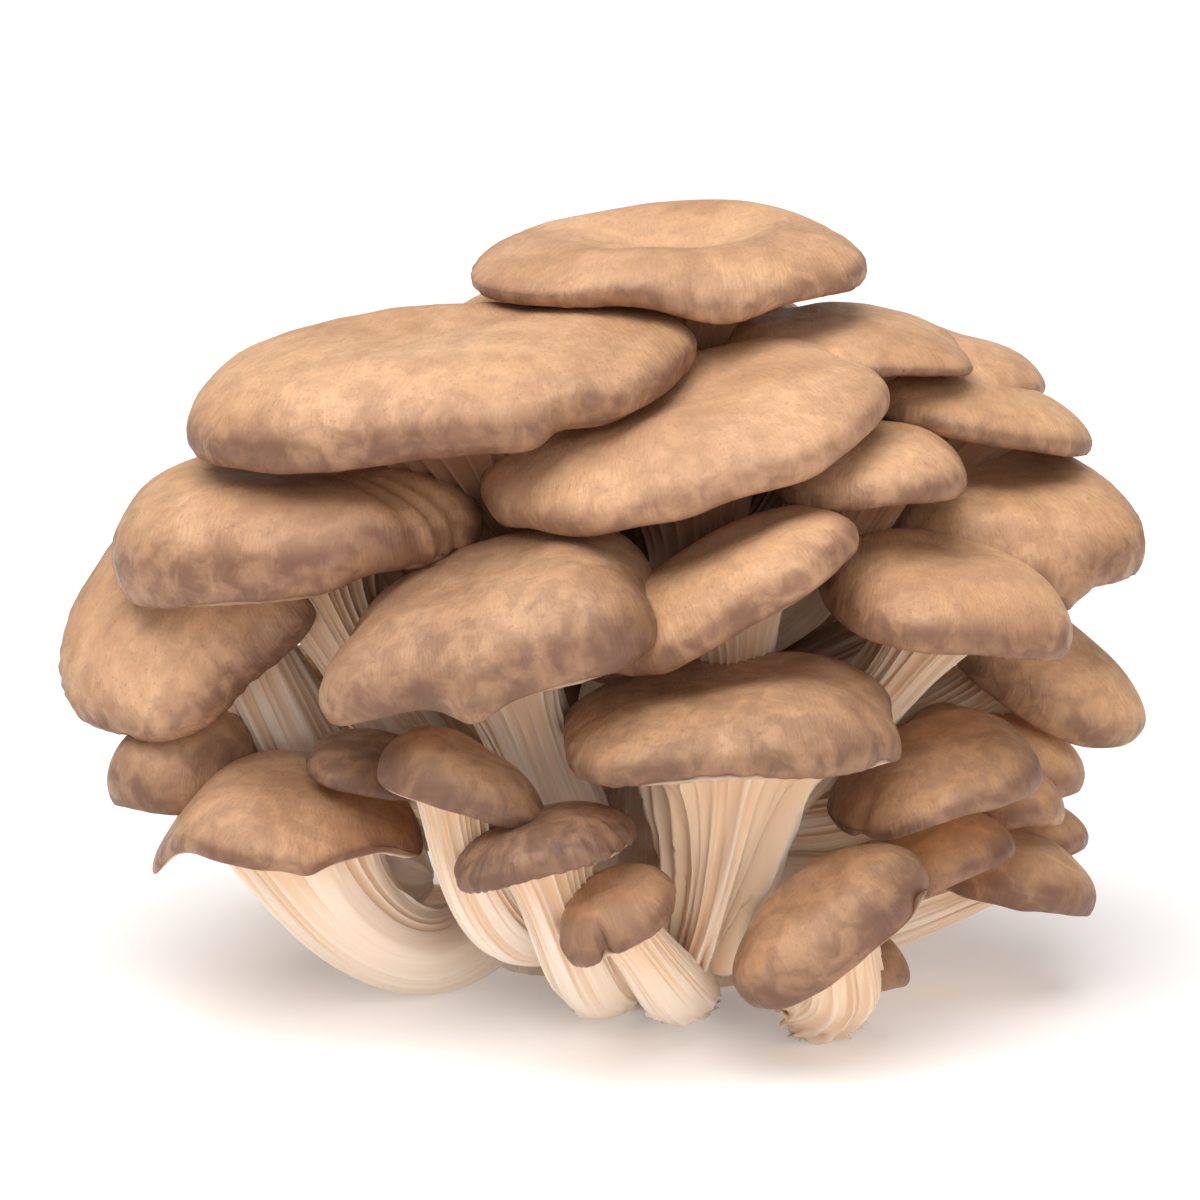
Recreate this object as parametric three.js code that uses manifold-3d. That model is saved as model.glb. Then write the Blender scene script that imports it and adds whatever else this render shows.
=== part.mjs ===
// An oyster mushroom cluster: shelf-like mushrooms, each one cap, gills and stem grown in one piece,
// standing out in tiers round a fused foot of torn stem ends. Millimetres, +Z up, front towards -Y.
// The cluster rests on z = 0 with the foot's middle at the origin.
import * as THREE from "three";
import { mergeVertices } from "three/addons/utils/BufferGeometryUtils.js";
import Module from "manifold-3d";

// ---- Driving dimensions -------------------------------------------------------------------------
const SIDES = { large: 12, small: 8 }; // facets round a mushroom
const LARGE = 36; // the width from which a mushroom counts as large
const GAP = 0.3; // clearance kept where two mushrooms press together
const FLOOR = 0;
const BLOCK = 400; // the cutting block below the floor

// The foot that all the stems share: a mound drawn up into a trunk of fused stems.
const FOOT = {
  centre: [10, 12],
  radii: [36, 34],
  sides: 16,
  lumps: 5,
  lump: 3,
  // share of the radii and height, from the underside to the tip
  profile: [[0, -4], [0.9, -4], [1, 4], [0.86, 12], [0.6, 22], [0.46, 38], [0.4, 56], [0.3, 70], [0, 74]],
};
const ROOTING = 0.5; // how high a stem joins the trunk, as a share of the lip's height
const NECK = 0.55; // how far a stem runs straight down from its cap, as a share of its fall
const BEND = 0.35; // and straight down into the trunk
const GATHER = 0.16; // how near the trunk's axis a stem ends, as a share of the lip's distance

// Rings of the cap's top from hub to lip: share of the outline's radius, share of the dome's rise.
const TOP_RINGS = [0.42, 0.74, 0.94];
// Rings from the lip down to the stem's foot: share of the way.
const UNDER_RINGS = [0, 0.1, 0.3, 0.48, 0.66, 0.84, 1];

const CREST = 0.62; // where the dome is highest, as a share of the radius
const EDGE_POWER = 3.2; // how square the cap's rounded edge is
const EDGE = 0.22; // how high the widest part of the margin stands, as a share of the dome
const CURL = 0.16; // how far the margin curls under, as a share of the dome
const NOSE = 0.07; // how far the rolled margin turns in, as a share of the radius
const NOSE_END = 0.1; // and how far down the underside it does
const TAPER = 1.6; // how soon a stem thins below its cap
const HOLLOW = 0.3; // how far the gills' face rises behind the margin, as a share of the dome
const HOLLOW_END = 0.36; // and how far down the underside it has risen
const DRAWN_IN = 0.6; // how far down the underside stops drawing in
const STEM_START = 0.12; // how far down the underside its points set off along the stem
const STEM_PACE = 1.2; // and how slowly they do at first

// What a mushroom has unless its own row says otherwise.
const USUAL = {
  face: 0, // where the lip points, in plan: 0 is the front, 90 the right
  tilt: 12, // how far the lip dips
  roll: 0, // how far the right side dips
  back: 18, // from the stem's axis to the cap's back edge
  dish: 0.8, // the hub's height as a share of the dome
  full: 2.4, // how full the outline's corners are: 2 is an ellipse
  lean: 0, // how much higher the dome is on the right, as a share of it
  bow: 4, // how far the sides hang below the middle
  curve: 2, // how far the lip hangs below the hub's plane
  stem: [8, 7], // radius under the cap and at the foot
  lobes: [], // bumps of the margin: angle from the lip, spread in degrees, out, down
  narrowing: 0.75, // how far the underside draws in before it is all stem
  flare: 0.6, // how far down the gills spread before they are all stem, as a share of the way down
};

// lip: the middle of the front edge. reach: from there back to the stem's axis. via: the stem's bend.
const MUSHROOMS = [
  // the front, top tier first
  { name: "crown", lip: [12, -30, 124], face: 0, tilt: 4, roll: -1, reach: 28, back: 28, width: 72,
    dome: 9, dish: 0.1, lean: 0.2, full: 2.1, bow: 3, stem: [11, 9], lobes: [[18, 18, 2, 3], [-18, 16,
    0, -1]] },
  { name: "upper_left_shelf", lip: [-34, -54, 102], face: -12, tilt: 8, roll: -8, reach: 34, back: 22,
    width: 91, dome: 13, lean: -0.1, full: 2.8, bow: 1, stem: [15, 10], lobes: [[47, 6, -2.5, -1], [36,
    8, 1.5, 1]] },
  { name: "upper_centre_shelf", lip: [19.5, -62, 96], face: 8, tilt: 7, roll: -16, reach: 34, back:
    20, width: 73, dome: 11, bow: 2, stem: [10, 8] },
  { name: "left_shelf", lip: [-62.5, -50, 77], face: -22, tilt: 5, roll: -8, reach: 30, back: 20,
    width: 68, dome: 16, lean: -0.2, bow: 1.5, stem: [10, 8], foot: [-20, -14, 20], flare: 0.75, lobes:
    [[50, 14, -2, -3]] },
  { name: "left_drooping", lip: [-84, -26, 46.5], face: -48, tilt: 50, reach: 30, back: 14, width: 58,
    dome: 12, stem: [17, 10], foot: [-30, -12, 18], lobes: [[60, 24, -5, 0]], flare: 0.75, via: [-54,
    -16, 20] },
  { name: "centre_left_shelf", lip: [-24, -78, 66], face: -12, tilt: 9, roll: -12, reach: 28, width:
    58, dome: 13.5, lean: 0.3, full: 3.4, stem: [10, 8], foot: [-4, -22, 18], lobes: [[5, 12, 3, 3],
    [62, 22, 4, -3]], flare: 0.75, back: 24 },
  { name: "centre_slanting", lip: [25, -71, 77], face: 8, tilt: 2, roll: -28, reach: 20, back: 16,
    width: 50, dome: 9, bow: 2 },
  { name: "centre_low_shelf", lip: [22, -84, 54.5], face: 0, tilt: 2, roll: -3, reach: 30, width: 58,
    dome: 10, lean: 0.15, full: 3.2, bow: 3, stem: [19, 8.5], foot: [16, -46, 11], via: [17.5, -57, 26],
    lobes: [[70, 14, 1, 2]], flare: 0.8, narrowing: 0.3 },
  { name: "right_upper_back", lip: [48.5, -27, 111.5], face: 15, tilt: 3, reach: 26, back: 14, width:
    47, dome: 5.5, full: 3 },
  { name: "right_back_tip", lip: [78, 2, 102.5], face: 60, tilt: 8, reach: 26, width: 40, dome: 7 },
  { name: "right_upper_shelf", lip: [75, -22, 98], face: 25, tilt: 2, roll: 12, reach: 28, back: 10,
    width: 46, dome: 7.5, bow: 2 },
  { name: "right_inner", lip: [48.5, -50, 93.5], face: 5, tilt: 4, roll: -5, reach: 22, back: 10,
    width: 34, dome: 7.5 },
  { name: "right_shelf", lip: [84, -30, 75.5], face: 30, tilt: 7, roll: -1, reach: 28, back: 14,
    width: 50, dome: 13, bow: 2, stem: [9, 7], lobes: [[-6, 9, 1, 4]], lean: 0.2 },
  { name: "right_centre_shelf", lip: [63, -62, 70.5], face: 10, tilt: 5, roll: 8, reach: 26, width:
    43, dome: 10.5, full: 3, bow: 2.5, stem: [10, 8], foot: [22, -18, 22], flare: 0.75 },
  { name: "right_drooping", lip: [95, -14, 43.5], face: 62, tilt: 30, reach: 24, width: 30, dome: 9 },
  // the small ones near the foot
  { name: "low_right_upper", lip: [62, -60, 42], face: 12, tilt: 3, roll: -16, reach: 22, back: 14,
    width: 38, dome: 7, lean: 0.3 },
  { name: "low_right_outer", lip: [83, -22, 36], face: 50, tilt: 8, reach: 20, back: 14, width: 30,
    dome: 9, stem: [6.5, 6] },
  { name: "low_right_bud", lip: [76, -35, 34], face: 25, tilt: 4, reach: 16, back: 10, width: 22,
    dome: 7, stem: [6, 5.5] },
  { name: "low_right_slanting", lip: [63, -52, 29], face: 15, tilt: 2, roll: -20, reach: 14, back: 6,
    width: 26, dome: 5.5, stem: [6, 6] },
  { name: "low_right_front", lip: [81, -38, 19.5], face: 35, tilt: 6, roll: 15, reach: 22, back: 14,
    width: 34, dome: 9, foot: [36, -12, 8], flare: 0.75, stem: [13, 8] },
  { name: "low_right_behind", lip: [86, -15, 24], face: 60, tilt: 4, reach: 20, back: 12, width: 28,
    dome: 7, stem: [6, 6] },
  { name: "bottom_right", lip: [43.5, -80, 22.5], face: 20, tilt: 8, roll: -33, reach: 13, back: 9,
    width: 39, dome: 9, bow: 3, stem: [10, 9], foot: [35, -45, 5], via: [40, -56, 9] },
  { name: "bottom_right_bud", lip: [51, -60, 12], face: 40, tilt: 20, reach: 9, back: 5, width: 12,
    dome: 4, stem: [4, 4], foot: [38, -16, 6], via: [44, -40, 6] },
  { name: "bottom_centre_bud", lip: [3, -86, 25], face: 0, tilt: 16, roll: -30, reach: 13, back: 8,
    width: 22, dome: 5, bow: 3, stem: [5, 7], foot: [15, -31, 5], via: [14, -58, 8], flare: 0.7 },
  { name: "bottom_centre_dark", lip: [-9, -83, 37.5], face: 0, tilt: 0, roll: -15, reach: 16, back:
    10, width: 32, dome: 6, bow: 3, stem: [11, 7.5], foot: [3, -25, 6], via: [0, -54, 8], flare: 0.75 },
  { name: "low_left_slanting", lip: [-25, -75, 47], face: -5, tilt: 0, roll: 14, reach: 14, back: 8,
    width: 30, dome: 7, lean: -0.4, bow: 3, stem: [11, 7], foot: [-4, -20, 14], via: [-14, -48, 14],
    flare: 0.75 },
  { name: "low_left_dark", lip: [-41, -52, 43.5], face: -5, tilt: 2, roll: 10, reach: 16, back: 8,
    width: 24, dome: 4.5, bow: 2, stem: [5, 5] },
  { name: "low_left_outer", lip: [-83, -30, 36], face: -45, tilt: 16, reach: 14, back: 13, width: 24,
    dome: 10, stem: [6, 6] },
  { name: "low_left_front", lip: [-60, -62, 33.5], face: -15, tilt: 5, roll: 3, reach: 26, width: 42,
    dome: 7, lean: -0.2, bow: 2, stem: [18, 7.5], foot: [-14, -10, 14], via: [-38, -31, -5], lobes:
    [[-72, 26, 3, 10], [25, 8, 1, 1], [84, 16, 4, 3]], flare: 0.85, full: 2.1, narrowing: 0.35 },
  { name: "low_left_tiny", lip: [-54, -10, 7], face: -40, reach: 10, back: 6, width: 14, dome: 4,
    stem: [4, 4], foot: [-22, 6, 8] },
  // the back, top tier first
  { name: "back_crown", lip: [8, 50, 108], face: 175, tilt: 6, reach: 32, width: 72, dome: 11, stem:
    [10, 9] },
  { name: "back_left_high", lip: [-48, 42, 97], face: -140, tilt: 6, reach: 34, back: 22, width: 64,
    dome: 11 },
  { name: "back_right_high", lip: [56, 42, 96], face: 135, tilt: 7, reach: 30, width: 58, dome: 11 },
  { name: "rear_left_shelf", lip: [-26, 70, 76], face: -162, tilt: 8, roll: 6, reach: 32, width: 62,
    dome: 13, stem: [14, 10] },
  { name: "rear_right_shelf", lip: [36, 68, 70], face: 152, tilt: 9, roll: -5, reach: 30, width: 58,
    dome: 12 },
  { name: "left_rear_shelf", lip: [-82, 24, 72], face: -105, tilt: 9, roll: 4, reach: 32, width: 58,
    dome: 13, stem: [15, 10] },
  { name: "right_rear_shelf", lip: [76, 34, 66], face: 110, tilt: 10, roll: 4, reach: 28, width: 50,
    dome: 11 },
  { name: "rear_low_left", lip: [-46, 60, 42], face: -145, tilt: 10, reach: 26, width: 46, dome: 10 },
  { name: "rear_low_middle", lip: [-2, 76, 46], face: 180, tilt: 12, reach: 28, width: 48, dome: 10 },
  { name: "rear_low_right", lip: [46, 62, 40], face: 145, tilt: 9, roll: 6, reach: 26, width: 44,
    dome: 9 },
  { name: "left_rear_low", lip: [-76, 30, 38], face: -110, tilt: 12, reach: 24, width: 40, dome: 9 },
  { name: "right_rear_low", lip: [72, 36, 32], face: 115, tilt: 10, reach: 22, width: 38, dome: 9 },
];

// ---- Colours ------------------------------------------------------------------------------------
const finish = (color) => new THREE.MeshStandardMaterial({ color, roughness: 0.62, metalness: 0 });
const SKIN = finish(0xc39a72);
const FLESH = finish(0xe6d2bb);

// ---- One mushroom -------------------------------------------------------------------------------
const rad = THREE.MathUtils.degToRad;
const smooth = (x, low, high) => THREE.MathUtils.smoothstep(x, low, high);
const vec = (p) => new THREE.Vector3(...p);

// The cap's own directions: side (right), lip (outward) and up.
function directions({ face, tilt, roll }) {
  const level = new THREE.Vector3(Math.sin(rad(face)), -Math.cos(rad(face)), 0);
  const lip = level.clone().multiplyScalar(Math.cos(rad(tilt)));
  lip.z -= Math.sin(rad(tilt));
  const up = level.multiplyScalar(Math.sin(rad(tilt)));
  up.z += Math.cos(rad(tilt));
  const side = new THREE.Vector3(Math.cos(rad(face)), Math.sin(rad(face)), 0);
  side.applyAxisAngle(lip, -rad(roll));
  up.applyAxisAngle(lip, -rad(roll));
  return { side, lip, up };
}

// How much of each lobe is felt at an angle, as a sum of [out, down].
function lobing(m, angle) {
  return m.lobes.reduce(([out, down], [at, spread, o, d]) => {
    const off = ((THREE.MathUtils.radToDeg(angle) - at + 540) % 360) - 180;
    const felt = Math.exp(-((off / spread) ** 2));
    return [out + o * felt, down + d * felt];
  }, [0, 0]);
}

// A point of the cap in its own frame, at a share of the outline's radius and a height above the lip.
function capPoint(m, share, angle, height) {
  const [out, down] = lobing(m, angle);
  const length = Math.cos(angle) > 0 ? m.reach : m.back;
  const squareness = Math.abs(Math.sin(angle) / (m.width / 2)) ** m.full
    + Math.abs(Math.cos(angle) / length) ** m.full;
  const radius = squareness ** (-1 / m.full) + out;
  const across = share * radius * Math.sin(angle);
  const along = share * radius * Math.cos(angle);
  const hang = m.bow * (across / (m.width / 2)) ** 2 + m.curve * Math.max(0, along / m.reach) ** 2;
  return [across, along, height - hang - down * share ** 3];
}

function domeRise(m, share, angle) {
  const arch = EDGE + (1 - EDGE) * Math.sqrt(1 - share ** EDGE_POWER);
  const dished = m.dish + (1 - m.dish) * smooth(share, 0, CREST);
  return m.dome * arch * dished * (1 + m.lean * share * Math.sin(angle));
}

// The stem's axis, from the hub down to the foot.
function stemAxis(m, hub, up) {
  const [x, y] = FOOT.centre;
  const joining = [x + GATHER * (m.lip[0] - x), y + GATHER * (m.lip[1] - y), ROOTING * m.lip[2]];
  const foot = vec(m.foot ?? joining);
  const fall = hub.z - foot.z;
  const neck = hub.clone().addScaledVector(up, -NECK * fall);
  const bend = m.via ? vec(m.via) : foot.clone().add(new THREE.Vector3(0, 0, BEND * fall));
  return new THREE.CubicBezierCurve3(hub, neck, bend, foot);
}

// The whole mushroom: a turned blank whose rings are carried onto the cap and down the stem.
function mushroomGeometry(row, swell = 0) {
  const m = { ...USUAL, ...row };
  const { side, lip, up } = directions(m);
  const edge = capPoint({ ...m, lobes: [] }, 1, 0, 0);
  const hub = vec(m.lip).addScaledVector(lip, -edge[1]).addScaledVector(up, -edge[2]);
  const axis = stemAxis(m, hub, up);
  const onCap = (share, angle, height) => {
    const [a, b, c] = capPoint(m, share, angle, height);
    return hub.clone().addScaledVector(side, a).addScaledVector(lip, b).addScaledVector(up, c);
  };
  const stemPoint = (way) => axis.getPoint(way).addScaledVector(axis.getTangent(way), swell * way);
  const onStem = (way, angle) => {
    const down = axis.getTangent(way);
    const out = lip.clone().addScaledVector(down, -lip.dot(down)).normalize();
    const right = out.clone().cross(down);
    const r = m.stem[1] + (m.stem[0] - m.stem[1]) * (1 - way) ** TAPER + swell;
    return stemPoint(way).addScaledVector(right, r * Math.sin(angle))
      .addScaledVector(out, r * Math.cos(angle));
  };
  const under = (way, angle) => {
    const nose = Math.min(way / NOSE_END, 1) * (Math.PI / 2);
    const rolled = 1 - NOSE * (1 - Math.cos(nose));
    const share = rolled * (1 - m.narrowing * smooth(way, NOSE_END / 2, DRAWN_IN))
      + swell / m.reach;
    const lift = m.dome * (EDGE - (EDGE + CURL) * Math.sin(nose)
      + (HOLLOW + CURL) * smooth(way, NOSE_END, HOLLOW_END));
    const stemmed = smooth(way, NOSE_END, m.flare);
    const run = Math.max(0, (way - STEM_START) / (1 - STEM_START)) ** STEM_PACE;
    return onCap(share, angle, lift - swell).lerp(onStem(run, angle), stemmed);
  };
  // Blank profile from the foot's tip up to the hub; only the order of its rings matters.
  const rings = [
    () => stemPoint(1),
    ...UNDER_RINGS.toReversed().map((way) => (angle) => under(way, angle)),
    ...TOP_RINGS.toReversed().map((s) => (angle) =>
      onCap(s + swell / m.reach, angle, domeRise(m, s, angle) + swell)),
    () => onCap(0, 0, domeRise(m, 0, 0) + swell),
  ];
  const blank = rings.map((_, i) => new THREE.Vector2(Math.sin((Math.PI * i) / (rings.length - 1)), i));
  const sides = m.width < LARGE ? SIDES.small : SIDES.large;
  const geometry = new THREE.LatheGeometry(blank, sides);
  const place = geometry.getAttribute("position");
  for (let i = 0; i < place.count; i += 1) {
    const turn = (Math.floor(i / rings.length) % sides) / sides;
    place.setXYZ(i, ...rings[i % rings.length](turn * 2 * Math.PI).toArray());
  }
  return geometry;
}

// The foot: a lumpy mound with a flat underside.
function footGeometry(swell = 0) {
  const { centre, radii, sides, lumps, lump, profile } = FOOT;
  const geometry = new THREE.LatheGeometry(profile.map(([r, z]) => new THREE.Vector2(r, z)), sides);
  const place = geometry.getAttribute("position");
  for (let i = 0; i < place.count; i += 1) {
    const turn = ((Math.floor(i / profile.length) % sides) / sides) * 2 * Math.PI;
    const [share, z] = profile[i % profile.length];
    const wave = lump * Math.sin(lumps * turn) * share;
    place.setXYZ(i,
      centre[0] + (share * (radii[0] + swell) + wave) * Math.sin(turn),
      centre[1] - (share * (radii[1] + swell) + wave) * Math.cos(turn),
      z + swell);
  }
  return geometry;
}

// ---- Cutting ------------------------------------------------------------------------------------
const wasm = await Module();
wasm.setup();

function solidOf(geometry) {
  const bare = geometry.clone();
  bare.deleteAttribute("normal");
  bare.deleteAttribute("uv");
  const merged = mergeVertices(bare, 1e-3);
  return new wasm.Manifold(new wasm.Mesh({
    numProp: 3,
    vertProperties: new Float32Array(merged.getAttribute("position").array),
    triVerts: new Uint32Array(merged.index.array),
  }));
}

function geometryOf(solid) {
  const { vertProperties, triVerts } = solid.getMesh();
  const geometry = new THREE.BufferGeometry();
  geometry.setAttribute("position", new THREE.BufferAttribute(vertProperties, 3));
  geometry.setIndex(new THREE.BufferAttribute(triVerts, 1));
  geometry.computeVertexNormals();
  return geometry;
}

// The largest piece of a solid: a cut may leave crumbs.
const largest = (solid) => solid.decompose().reduce((a, b) => (a.volume() > b.volume() ? a : b));

const floorBlock = solidOf(
  new THREE.BoxGeometry(BLOCK, BLOCK, BLOCK).translate(0, 0, FLOOR - BLOCK / 2));

function node(name, solid, material) {
  const mesh = new THREE.Mesh(geometryOf(solid), material);
  mesh.name = name;
  return mesh;
}

// ---- The cluster --------------------------------------------------------------------------------
// Each mushroom is cut back, with a gap, from the foot and from those before it in the list.
const cluster = new THREE.Group();
const foot = solidOf(footGeometry()).subtract(floorBlock);
cluster.add(node("fused_foot", largest(foot), FLESH));
let taken = solidOf(footGeometry(GAP));
for (const row of MUSHROOMS) {
  const whole = solidOf(mushroomGeometry(row));
  cluster.add(node(row.name, largest(whole.subtract(taken).subtract(floorBlock)), SKIN));
  taken = taken.add(whole).add(solidOf(mushroomGeometry(row, GAP)));
}

export default cluster;
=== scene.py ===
"""An oyster mushroom cluster: fan-shaped caps in tiers, with forked gills that run down short stems into one
fused foot of torn fibres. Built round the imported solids, in metres, +Z up, front towards -Y."""

import math

import bpy
import numpy as np
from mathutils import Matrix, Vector


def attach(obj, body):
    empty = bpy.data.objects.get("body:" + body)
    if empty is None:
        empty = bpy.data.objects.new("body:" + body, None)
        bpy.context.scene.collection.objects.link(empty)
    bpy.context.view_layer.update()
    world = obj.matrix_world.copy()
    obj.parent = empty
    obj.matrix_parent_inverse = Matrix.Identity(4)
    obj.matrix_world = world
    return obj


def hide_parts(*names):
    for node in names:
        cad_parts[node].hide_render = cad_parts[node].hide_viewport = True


bl_info = {
    "name": "Oyster mushroom cluster",
    "version": (1, 0, 0),
    "blender": (4, 5, 0),
    "location": "3D View > Sidebar > Oysters",
    "description": "Grows an oyster mushroom cluster on its packed solids",
    "category": "Add Mesh",
}

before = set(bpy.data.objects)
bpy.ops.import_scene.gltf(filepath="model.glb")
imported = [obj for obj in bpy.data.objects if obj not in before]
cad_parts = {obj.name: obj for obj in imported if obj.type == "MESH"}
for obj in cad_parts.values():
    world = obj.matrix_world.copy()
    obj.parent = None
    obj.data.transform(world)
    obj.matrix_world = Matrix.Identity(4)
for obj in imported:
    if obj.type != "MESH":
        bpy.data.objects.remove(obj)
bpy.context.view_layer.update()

MM = 0.001
TURN = 2 * math.pi

# ---- Sizes, in millimetres ------------------------------------------------------------------------------
# The foot that all the stems share: a mound drawn up into a trunk of fused stems.
FOOT_CENTRE = (10, 12)
FOOT_RADII = (36, 34)
FOOT_LUMPS = 5
FOOT_LUMP = 3
# Share of the radii and height, from the underside to the tip.
FOOT_PROFILE = ((0.9, -4), (1, 4), (0.86, 12), (0.6, 22), (0.46, 38), (0.4, 56), (0.3, 70), (0, 74))
ROOTING = 0.5  # how high a stem joins the trunk, as a share of the lip's height
NECK = 0.55  # how far a stem runs straight down from its cap, as a share of its fall
BEND = 0.35  # and straight down into the trunk
GATHER = 0.16  # how near the trunk's axis a stem ends, as a share of the lip's distance

CREST = 0.62  # where the dome is highest, as a share of the radius
EDGE_POWER = 3.2  # how square the cap's rounded edge is
EDGE = 0.22  # how high the widest part of the margin stands, as a share of the dome
CURL = 0.16  # how far the margin curls under, as a share of the dome
NOSE = 0.07  # how far the rolled margin turns in, as a share of the radius
NOSE_END = 0.1  # and how far down the underside it does
TAPER = 1.6  # how soon a stem thins below its cap
HOLLOW = 0.3  # how far the gills' face rises behind the margin, as a share of the dome
HOLLOW_END = 0.36  # and how far down the underside it has risen
DRAWN_IN = 0.6  # how far down the underside stops drawing in
STEM_START = 0.12  # how far down the underside its points set off along the stem
STEM_PACE = 1.2  # and how slowly they do at first
ROUND_FROM = 0.88  # where a stem begins to round off at its end
END_RADIUS = 0.2  # the least radius of a stem's rounded end, as a share of its own

# What a mushroom has unless its own row says otherwise.
USUAL = {
    "face": 0,  # where the lip points, in plan: 0 is the front, 90 the right
    "tilt": 12,  # how far the lip dips
    "roll": 0,  # how far the right side dips
    "back": 18,  # from the stem's axis to the cap's back edge
    "dish": 0.8,  # the hub's height as a share of the dome
    "full": 2.4,  # how full the outline's corners are: 2 is an ellipse
    "lean": 0,  # how much higher the dome is on the right, as a share of it
    "bow": 4,  # how far the sides hang below the middle
    "curve": 2,  # how far the lip hangs below the hub's plane
    "stem": (8, 7),  # radius under the cap and at the foot
    "lobes": (),  # bumps of the margin: angle from the lip, spread in degrees, out, down
    "narrowing": 0.75,  # how far the underside draws in before it is all stem
    "flare": 0.6,  # how far down the gills spread before they are all stem, as a share of the way down
    "foot": None,  # where the stem ends, if not in the trunk
    "via": None,  # the stem's bend
    "blank": "plain",  # which blank it is made from
    "ragged": 0,  # how torn the gills and the stem are, 0 to 1
    "tone": 0,  # how dark the skin is, -1 to 1
    "creases": (),  # furrows in the margin: angle from the lip, spread in degrees, depth, share they start at
    "wrinkled": 0,  # height of fine wrinkles across the margin
    "rippled": 0,  # height of faint ripples along the margin
    "frayed": 0,  # how far the stem's end is torn into teeth, in millimetres
}


def row(name, **sizes):
    """One mushroom. lip is the middle of the front edge, and reach goes back to the stem's axis."""
    return {**USUAL, "name": name, **sizes}


TOP_TIER = (
    row("crown", lip=(12, -30, 124), tilt=4, roll=-1, reach=28, back=28, width=72, dome=9, dish=0.1,
        lean=0.2, full=2.1, bow=3, stem=(11, 9), lobes=((18, 18, 2, 3), (-18, 16, 0, -1)), tone=-0.1,
        wrinkled=0.12),
    row("upper_left_shelf", lip=(-34, -54, 102), face=-12, tilt=8, roll=-8, reach=34, back=22, width=91,
        dome=13, lean=-0.1, full=2.8, bow=1, stem=(15, 10), lobes=((47, 6, -2.5, -1), (36, 8, 1.5, 1)),
        wrinkled=0.05),
    row("upper_centre_shelf", lip=(19.5, -62, 96), face=8, tilt=7, roll=-16, reach=34, back=20, width=73,
        dome=11, bow=2, stem=(10, 8), blank="fine", tone=-0.25),
    row("right_upper_back", lip=(48.5, -27, 111.5), face=15, tilt=3, reach=26, back=14, width=47, dome=5.5,
        full=3),
    row("right_back_tip", lip=(78, 2, 102.5), face=60, tilt=8, reach=26, width=40, dome=7),
    row("right_upper_shelf", lip=(75, -22, 98), face=25, tilt=2, roll=12, reach=28, back=10, width=46,
        dome=7.5, bow=2),
    row("right_inner", lip=(48.5, -50, 93.5), face=5, tilt=4, roll=-5, reach=22, back=10, width=34,
        dome=7.5),
)

MIDDLE_TIER = (
    row("left_shelf", lip=(-62.5, -50, 77), face=-22, tilt=5, roll=-8, reach=30, back=20, width=68, dome=16,
        lean=-0.2, bow=1.5, stem=(10, 8), foot=(-20, -14, 20), blank="fine", flare=0.75,
        creases=((63, 4, 1.3, 0.3), (72, 4, 1.5, 0.35), (81, 4, 1.2, 0.4)),
        lobes=((50, 14, -2, -3),), tone=0.15),
    row("left_drooping", lip=(-84, -26, 46.5), face=-48, tilt=50, reach=30, back=14, width=58, dome=12,
        stem=(17, 10), foot=(-30, -12, 18), lobes=((60, 24, -5, 0),), blank="fine", tone=0.05, flare=0.75,
        rippled=0.22, wrinkled=0.15, via=(-54, -16, 20)),
    row("centre_left_shelf", lip=(-24, -78, 66), face=-12, tilt=9, roll=-12, reach=28, width=58, dome=13.5,
        lean=0.3, full=3.4, stem=(10, 8), foot=(-4, -22, 18), lobes=((5, 12, 3, 3), (62, 22, 4, -3)),
        blank="fine", flare=0.75, creases=((-62, 7, 0.9, 0.5), (40, 9, 0.6, 0.6)), tone=0.42, back=24),
    row("centre_slanting", lip=(25, -71, 77), face=8, tilt=2, roll=-28, reach=20, back=16, width=50, dome=9,
        bow=2),
    row("centre_low_shelf", lip=(22, -84, 54.5), tilt=2, roll=-3, reach=30, width=58, dome=10,
        lean=0.15, full=3.2, bow=3, stem=(19, 8.5), foot=(16, -46, 11), via=(17.5, -57, 26),
        lobes=((70, 14, 1, 2),), blank="fine", ragged=1, flare=0.8,
        creases=((8, 2.5, 0.5, 0.75), (52, 5, 1.2, 0.6)), wrinkled=0.12, tone=0.5, narrowing=0.3),
    row("right_shelf", lip=(84, -30, 75.5), face=30, tilt=7, roll=-1, reach=28, back=14, width=50, dome=13,
        bow=2, stem=(9, 7), lobes=((-6, 9, 1, 4),), creases=((-40, 9, 1.5, 0.2),), wrinkled=0.2, lean=0.2),
    row("right_centre_shelf", lip=(63, -62, 70.5), face=10, tilt=5, roll=8, reach=26, width=43, dome=10.5,
        full=3, bow=2.5, stem=(10, 8), foot=(22, -18, 22), blank="fine", ragged=0.3, flare=0.75),
    row("right_drooping", lip=(95, -14, 43.5), face=62, tilt=30, reach=24, width=30, dome=9, blank="fine"),
)

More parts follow.
